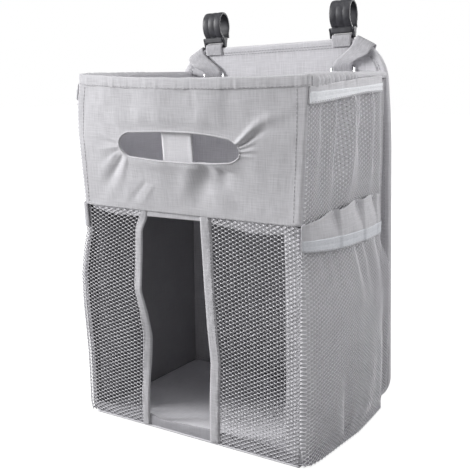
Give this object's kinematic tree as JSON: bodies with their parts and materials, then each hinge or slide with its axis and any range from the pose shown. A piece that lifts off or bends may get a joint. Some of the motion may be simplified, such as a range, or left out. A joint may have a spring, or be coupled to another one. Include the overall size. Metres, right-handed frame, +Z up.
{
  "type": "crib organizer",
  "caption": "Soft fabric caddy on a stiff back panel, with hooks for a crib rail, netted lower front, wipes slot and side pockets.",
  "frame": {"origin": "middle of the base's underside, where the caddy stands", "axes": "X to the right seen from the front, Y to the back panel, Z up"},
  "size_m": [0.3362, 0.2341, 0.4888],
  "materials": {
    "linen": "light grey linen-look woven polyester, matt, heathered",
    "lining": "plain light grey woven lining, matt",
    "net": "grey knitted diamond netting",
    "elastic": "white ribbed woven elastic",
    "board": "thin stiffening board, sewn in between the cloths",
    "webbing": "light grey woven webbing",
    "hook_plastic": "charcoal moulded plastic, satin gloss",
    "ring_metal": "bright plated wire"
  },
  "bodies": {
    "caddy": {"base_cover": "linen", "back_front_cover": "linen", "back_rear_cover": "linen", "back_binding": "linen", "shelf_hem": "linen", "front_panel": "linen", "slot_binding": "linen", "rim_hem": "linen", "gap_binding_left": "linen", "gap_binding_right": "linen", "front_sill": "linen", "wall_cover_left": "linen", "rim_casing_left": "linen", "lower_pocket_header_left": "linen", "upper_pocket_header_left": "linen", "wall_cover_right": "linen", "rim_casing_right": "linen", "lower_pocket_header_right": "linen", "upper_pocket_header_right": "linen", "base_lining": "lining", "shelf_top_cover": "lining", "shelf_bottom_cover": "lining", "front_lining": "lining", "wall_lining_left": "lining", "wall_lining_right": "lining", "base_board": "board", "shelf_board": "board", "back_board": "board", "wall_board_left": "board", "wall_board_right": "board", "front_net_left": "net", "front_net_right": "net", "lower_pocket_net_left": "net", "upper_pocket_net_left": "net", "lower_pocket_net_right": "net", "upper_pocket_net_right": "net", "rim_elastic_left": "elastic", "lower_pocket_elastic_left": "elastic", "upper_pocket_elastic_left": "elastic", "rim_elastic_right": "elastic", "lower_pocket_elastic_right": "elastic", "upper_pocket_elastic_right": "elastic", "wipes_strap": "webbing", "strap_left": "webbing", "hook_loop_left": "webbing", "strap_right": "webbing", "hook_loop_right": "webbing"},
    "hook_left": {"hook_left": "hook_plastic"},
    "hook_right": {"hook_right": "hook_plastic"},
    "ring_left": {"ring_left": "ring_metal"},
    "ring_right": {"ring_right": "ring_metal"}
  },
  "joints": [
    {"name": "hook_left_tilt", "type": "hinge", "parent": "caddy", "child": "hook_left", "pos_m": [-0.09623, 0.1031, 0.43853], "axis": [0.999, 0, 0.0436], "range_deg": [-50, 50]},
    {"name": "ring_left_swing", "type": "hinge", "parent": "caddy", "child": "ring_left", "pos_m": [-0.0963, 0.0984, 0.40349], "axis": [-0.999, 0, -0.0436], "range_deg": [0, 100]},
    {"name": "hook_right_tilt", "type": "hinge", "parent": "caddy", "child": "hook_right", "pos_m": [0.0844, 0.1031, 0.44641], "axis": [0.999, 0, 0.0436], "range_deg": [-50, 50]},
    {"name": "ring_right_swing", "type": "hinge", "parent": "caddy", "child": "ring_right", "pos_m": [0.08752, 0.0984, 0.41152], "axis": [-0.999, 0, -0.0436], "range_deg": [0, 100]}
  ]
}
